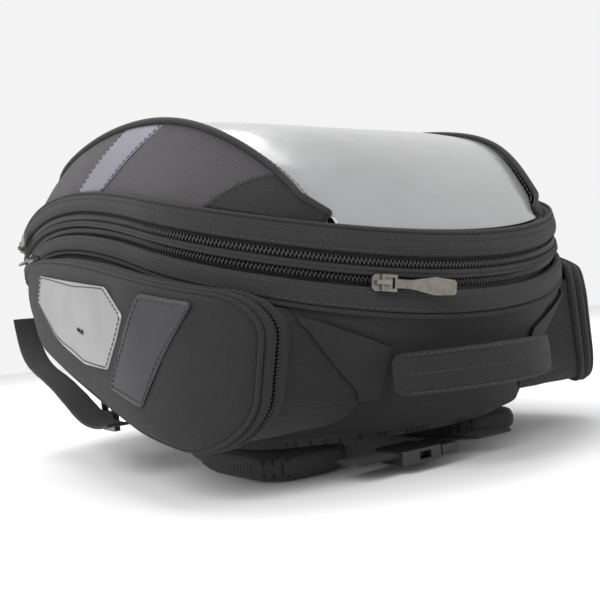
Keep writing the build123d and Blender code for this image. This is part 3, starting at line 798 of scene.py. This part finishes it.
def make_body():
    body_sheet("body_cloth", 0.2, BINDING_TOP + 1.0, 34, "wrap", ("body_shell",), 0.9)
    body_sheet("body_inner_cloth", 3.4, BINDING_TOP + 1.0, 30, "lining", ("body_lining",), 0.7)


# ------------------------------------------------------------------ side pockets
def pocket_boundary(side, count=260):
    """Pocket outline from the side, in millimetres, evenly spaced, with its normals."""
    name = "left" if side < 0 else "right"
    mesh = NODES[f"pocket_flap_{name}"].data
    flat = np.array([(v.co.y / MM + MIDDLE_Y, v.co.z / MM) for v in mesh.vertices])
    hull = convex_hull(flat)
    steps = np.hypot(*(np.roll(hull, -1, axis=0) - hull).T)
    place = np.concatenate(([0.0], np.cumsum(steps)))
    wrapped = np.vstack((hull, hull[:1]))
    at = np.linspace(0.0, place[-1], count, endpoint=False)
    loop = np.column_stack([np.interp(at, place, wrapped[:, axis]) for axis in (0, 1)])
    ahead = np.roll(loop, -2, axis=0) - np.roll(loop, 2, axis=0)
    normals = np.column_stack((ahead[:, 1], -ahead[:, 0]))
    return loop, normals / np.hypot(*normals.T)[:, None]


def convex_hull(points):
    """Anticlockwise convex hull of 2-D points."""
    ordered = sorted(map(tuple, np.round(points, 3)))

    def chain(source):
        out = []
        for point in source:
            while len(out) > 1:
                (ax, ay), (bx, by) = out[-2], out[-1]
                if (bx - ax) * (point[1] - ay) - (by - ay) * (point[0] - ax) > 0:
                    break
                out.pop()
            out.append(point)
        return out[:-1]

    return np.array(chain(ordered) + chain(ordered[::-1]))


def face_x(y, grow):
    """X of the pocket's wrapped face at Y, this far outside the plan outline."""
    return half_width_at(max(y, POCKET_FRONT_Y), grow)


def pocket_ring(name, side, section, body, material, hides=()):
    """Sweep an (outward, along the bag's X) section round the pocket's edge."""
    loop, normals = pocket_boundary(side)
    points = []
    uvs = []
    for index, ((y, z), (ny, nz)) in enumerate(zip(loop, normals)):
        for k, (out, rise) in enumerate(section):
            points.append((side * face_x(y, POCKET_ZIP + rise), y + ny * out, z + nz * out))
            uvs.append((index * 0.0026, k * 0.0012))
    obj = new_object(name, points, grid_faces(len(loop), len(section), True, True), material, uvs)
    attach(obj, body)
    if hides:
        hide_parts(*hides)
    return obj


def pocket_frames(side, out, rise, pitch, across=False):
    """Evenly spaced frames along the pocket's edge."""
    loop, normals = pocket_boundary(side)
    line = []
    outs = []
    for (y, z), (ny, nz) in zip(loop, normals):
        line.append((side * face_x(y, POCKET_ZIP + rise), y + ny * out, z + nz * out))
        outs.append((0.0, ny, nz))
    line.append(line[0])
    outs.append(outs[0])
    return curve_frames(line, outs, pitch, across)


def flap_shape(side):
    """Bulging flap face: rings from the zip line inwards, then the padded middle."""
    loop, _ = pocket_boundary(side)
    centre = loop.mean(axis=0)
    insets = [0.0, 0.0, 0.3, 1.0, 2.2, 4.0, 6.4, 9.4, 13.0, 17.0, 22.0, 28.0, 35.0]
    rises = [2.9, 4.2, 5.2, 6.0, 6.6, 7.0, 7.3, 7.5, 7.6, 7.8, 8.0, 8.2, 8.3]
    shrinks = [0.18, 0.34, 0.50, 0.66, 0.82]
    points = []
    for inset, rise in zip(insets, rises):
        for y, z in loop:
            away = hypot(y - centre[0], z - centre[1])
            points.append(flap_point(side, *drawn_in((y, z), centre, 1 - inset / away), rise))
    for shrink in shrinks:
        for y, z in loop:
            away = hypot(y - centre[0], z - centre[1])
            share = (1 - insets[-1] / away) * (1 - shrink)
            points.append(flap_point(side, *drawn_in((y, z), centre, share), rises[-1]))
    points.append(flap_point(side, *centre, rises[-1]))
    count = len(loop)
    rows = len(insets) + len(shrinks)
    faces = grid_faces(rows, count, False, True)
    faces += fan_faces(rows, count, len(points) - 1)
    return points, faces


def flap_point(side, y, z, rise):
    """Point on the flap, this high over the zip line, with soft unevenness."""
    soft = 0.5 * wobble((0.0, y, z), 30.0, side) + 0.25 * wobble((0.0, y, z), 11.0, side)
    height = rise + soft * min(rise / 8.0, 1.0)
    return (side * face_x(y, POCKET_ZIP + height), y, z)


def make_pocket(name, side):
    flap_body = f"pocket_flap_{name}"
    points, faces = flap_shape(side)
    flap = new_object(f"flap_cloth_{name}", points, faces, "side_yz")
    face_towards(flap, (side, 0, 0))
    add_thickness(flap, 2.2)
    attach(flap, flap_body)
    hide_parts(f"pocket_flap_{name}")
    ridge_out = [(-1.0, 0.5), (0.6, 0.4), (1.9, 1.0), (2.3, 2.0), (1.9, 3.1), (0.6, 3.8), (-1.0, 3.8)]
    pocket_ring(f"flap_zip_ridge_{name}", side, ridge_out, flap_body, "tape", (f"pocket_zip_outer_{name}",))
    ridge_in = [(out, -rise) for out, rise in ridge_out]
    pocket_ring(f"wall_zip_ridge_{name}", side, ridge_in, "bag_body", "tape", (f"pocket_zip_inner_{name}",))
    pocket_ring(f"flap_piping_{name}", side, round_section(0.3, 4.9, 1.0, 8), flap_body, "piping")
    outer_teeth = pocket_frames(side, 0.9, 0.65, 1.7, across=True)
    bars(f"flap_teeth_{name}", outer_teeth, (1.4, 0.9, 1.2), flap_body, "coil")
    inner_teeth = pocket_frames(side, 0.9, -0.65, 1.7, across=True)
    bars(f"wall_teeth_{name}", inner_teeth, (1.4, 0.9, 1.2), "bag_body", "coil")
    soft_copy(f"pocket_wall_{name}", f"pocket_side_cloth_{name}", "bag_body", "side_yz", 5.0, 0.3)
    face_patch(f"reflector_{name}", side, REFLECTOR, flap_body, "reflector", f"pocket_reflector_{name}")
    face_patch(f"label_{name}", side, LABEL, flap_body, "label", f"pocket_label_{name}")


def face_patch(name, side, corners, body, material, node):
    """Flat patch sewn on the flap face, given by its corners seen from the side."""
    centre = (sum(y for y, _ in corners) / len(corners), sum(z for _, z in corners) / len(corners))
    edge = rounded_loop(corners, 3.0, 6)
    points = []
    rings = 9
    for ring in range(rings):
        share = 1 - ring / rings
        for corner in edge:
            points.append(flap_point(side, *drawn_in(corner, centre, share), PATCH_RISE))
    points.append(flap_point(side, *centre, PATCH_RISE))
    count = len(edge)
    faces = grid_faces(rings, count, False, True)
    faces += fan_faces(rings, count, len(points) - 1)
    obj = new_object(name, points, faces, material)
    face_towards(obj, (side, 0, 0))
    add_thickness(obj, 0.7)
    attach(obj, body)
    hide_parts(node)
    line = []
    for y, z in edge + edge[:1]:
        away = hypot(y - centre[0], z - centre[1])
        share = 1 - PATCH_STITCH_INSET / away
        line.append(flap_point(side, *drawn_in((y, z), centre, share), PATCH_STITCH_RISE))
    outs = [(side, 0.0, 0.0)] * len(line)
    bars(f"{name}_stitches", curve_frames(line, outs, STITCH_PITCH), STITCH, body, "thread")


def rounded_loop(corners, radius, steps):
    """Closed outline with its corners rounded and its long sides divided."""
    out = []
    count = len(corners)
    for k in range(count):
        before, here, after = (Vector(corners[(k + d) % count]) for d in (-1, 0, 1))
        start = here + (before - here).normalized() * radius
        stop = here + (after - here).normalized() * radius
        for s in range(steps + 1):
            t = s / steps
            out.append(tuple(start * (1 - t) ** 2 + here * 2 * t * (1 - t) + stop * t ** 2))
        length = (after - here).length - 2 * radius
        pieces = int(length / 4)
        for s in range(1, pieces):
            out.append(tuple(stop + (after - here).normalized() * length * s / pieces))
    return out


# ------------------------------------------------------------------ padded pieces
def puff(obj, pressure, cap, voxel=0.005):
    """Inflate a closed mesh a little with a cloth simulation, then smooth it."""
    remesh = obj.modifiers.new("Remesh", "REMESH")
    remesh.mode = "VOXEL"
    remesh.voxel_size = voxel
    apply_modifiers(obj)
    before = np.array([v.co for v in obj.data.vertices])
    cloth = obj.modifiers.new("Cloth", "CLOTH")
    cloth.settings.use_pressure = True
    cloth.settings.uniform_pressure_force = pressure
    cloth.settings.effector_weights.gravity = 0.0
    cloth.point_cache.frame_end = 20
    for number in range(1, 21):
        bpy.context.scene.frame_set(number)
    apply_modifiers(obj)
    bpy.context.scene.frame_set(1)
    after = np.array([v.co for v in obj.data.vertices])
    move = after - before
    size = np.linalg.norm(move, axis=1)[:, None]
    after = before + move * np.minimum(1.0, cap / np.maximum(size, 1e-9))
    obj.data.vertices.foreach_set("co", after.ravel())
    subdivide = obj.modifiers.new("Smooth", "SUBSURF")
    subdivide.levels = 1
    apply_modifiers(obj)
    obj.data.polygons.foreach_set("use_smooth", [True] * len(obj.data.polygons))
    return obj


def cad_copy(node, name, material, scale=1.0):
    """Free copy of a CAD node's mesh, shrunk about its middle."""
    mesh = NODES[node].data.copy()
    mesh.name = name
    low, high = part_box(node)
    middle = (low + high) / 2
    mesh.transform(Matrix.Translation(middle) @ Matrix.Scale(scale, 4) @ Matrix.Translation(-middle))
    mesh.materials.clear()
    mesh.materials.append(MATERIALS[material])
    obj = bpy.data.objects.new(name, mesh)
    bpy.context.scene.collection.objects.link(obj)
    return obj


def make_pads():
    for name in SIDES:
        pad = cad_copy(f"shoulder_pad_{name}", f"strap_pad_{name}", "mesh", 0.985)
        puff(pad, 3.0, 0.0012, 0.004)
        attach(pad, f"shoulder_strap_{name}")
        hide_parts(f"shoulder_pad_{name}")


def make_handle():
    grip = cad_copy("grab_handle", "handle_grip", "front_xz")
    puff(grip, 3.0, 0.001, 0.003)
    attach(grip, "grab_handle")
    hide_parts("grab_handle")
    end = asin(HANDLE_HALF_CHORD / HANDLE_OUTER) * HANDLE_STITCH_SHARE
    for k, row in enumerate((-1, 0, 1)):
        line = []
        outs = []
        for step in range(80):
            angle = -end + 2 * end * step / 79
            reach = HANDLE_OUTER + 0.1
            height = HANDLE_Z + row * HANDLE_STITCH_STEP
            line.append((reach * sin(angle), HANDLE_CENTRE_Y - reach * cos(angle), height))
            outs.append((sin(angle), -cos(angle), 0.0))
        bars(f"handle_stitches_{k}", curve_frames(line, outs, STITCH_PITCH), STITCH, "grab_handle", "thread")


# ------------------------------------------------------------------ remaining nodes
def repaint(node, material):
    mesh = NODES[node].data
    mesh.materials.clear()
    mesh.materials.append(MATERIALS[material])


def repaint_hardware():
    for node in NODES:
        if "slider" in node or "pull" in node:
            repaint(node, "gunmetal")
    for node in ("ladder_locks", "buckle_socket", "buckle_plug"):
        repaint(node, "plastic")
    repaint("base_board", "board")


def make_trim():
    soft_copy("handle_anchors", "handle_end_patches", "bag_body", "front_xz", 3.0, 0.25)
    soft_copy("ladder_lock_tabs", "grey_tabs", "bag_body", "grey_webbing", 3.0, 0.2)
    soft_copy("reflective_tabs", "rear_reflective_tabs", "bag_body", "stripe", 3.0, 0.2)
    soft_copy("strap_anchor_tabs", "rear_corner_tabs", "bag_body", "webbing", 3.0, 0.2)
    soft_copy("base_pad", "base_mesh_pad", "bag_body", "mesh", 6.0, 0.4)
    soft_copy("lid_hinge_strip", "rear_zip_cover", "expander", "binding", 5.0, 0.3)
    soft_copy("stow_webbing", "stow_strap", "bag_body", "webbing", 3.0, 0.15)
    for name in SIDES:
        soft_copy(f"adjuster_webbing_{name}", f"hanging_webbing_{name}", "bag_body", "webbing", 3.0, 0.2)


def make_bellows():
    """Folded gusset inside the zips, between the body and the ring."""
    steps = 12
    outer = [(GUSSET_IN - GUSSET_FOLD * (1 - cos(2 * pi * 3 * k / steps)) / 2,
              GUSSET_TOP + GUSSET_DEEP * k / steps) for k in range(steps + 1)]
    inner = [(grow - 1.0, depth) for grow, depth in reversed(outer)]
    rows = []
    uvs = []
    section = outer + inner
    for index, (x, y, nx, ny) in enumerate(RING):
        for grow, depth in section:
            py = y + ny * grow
            rows.append((x + nx * grow, py, float(arch_z(py, depth))))
            uvs.append((RING_LENGTH[index] * MM, depth * MM))
    obj = new_object("gusset_cloth", rows, grid_faces(len(RING), len(section), True, True), "lining", uvs)
    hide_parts("gusset_bellows")
    return obj


# ------------------------------------------------------------------ stage
def make_stage():
    floor_mesh = bpy.data.meshes.new("floor")
    reach = 6.0
    corners = [(x * reach, y * reach, -0.0004) for x, y in ((-1, -1), (1, -1), (1, 1), (-1, 1))]
    floor_mesh.from_pydata(corners, [], [(0, 1, 2, 3)])
    floor = bpy.data.objects.new("floor", floor_mesh)
    bpy.context.scene.collection.objects.link(floor)
    paper = Shader("studio_paper", (0.86, 0.86, 0.86), 0.9)
    paper.tint(paper.noise(3.0), 0.99, 1.01)
    floor_mesh.materials.append(paper.material)
    world = bpy.data.worlds.new("studio")
    world.use_nodes = True
    world.node_tree.nodes["Background"].inputs["Color"].default_value = (1.0, 1.0, 1.0, 1.0)
    world.node_tree.nodes["Background"].inputs["Strength"].default_value = 0.9
    bpy.context.scene.world = world
    add_light("key_softbox", (-1.7, -0.7, 1.5), 34.0, 1.3)
    add_light("top_softbox", (0.1, 0.7, 2.1), 30.0, 1.6)
    bpy.context.scene.view_settings.view_transform = "Standard"


def add_light(name, place, power, size):
    data = bpy.data.lights.new(name, "AREA")
    data.energy = power
    data.size = size
    light = bpy.data.objects.new(name, data)
    light.location = place
    aim = Vector((0.0, 0.0, 0.1)) - Vector(place)
    light.rotation_euler = aim.to_track_quat("-Z", "Y").to_euler()
    bpy.context.scene.collection.objects.link(light)


def make_camera():
    azimuth, elevation, roll = radians(-31.4), radians(-2.4), radians(-6.6)
    back = Vector((sin(azimuth) * cos(elevation), -cos(azimuth) * cos(elevation), sin(elevation)))
    right = Vector((0, 0, 1)).cross(back).normalized()
    up = back.cross(right)
    turned_right = right * cos(roll) + up * sin(roll)
    turned_up = up * cos(roll) - right * sin(roll)
    data = bpy.data.cameras.new("camera")
    data.sensor_width = 36.0
    data.lens = 45.0
    data.clip_start = 0.01
    camera = bpy.data.objects.new("camera", data)
    matrix = Matrix((turned_right, turned_up, back)).transposed().to_4x4()
    matrix.translation = Vector((-0.258, -0.477 - MIDDLE_Y * MM, 0.073))
    camera.matrix_world = matrix
    bpy.context.scene.collection.objects.link(camera)
    bpy.context.scene.camera = camera


make_camera()
make_stage()
make_rim()
make_window()
make_side_panels()
make_lid_patches()
make_window_piping()
make_deck()
make_body()
for pocket_name, pocket_side in SIDES.items():
    make_pocket(pocket_name, pocket_side)
make_pads()
make_handle()
make_trim()
repaint_hardware()
gusset = make_bellows()
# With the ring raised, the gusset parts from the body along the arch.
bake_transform(gusset)
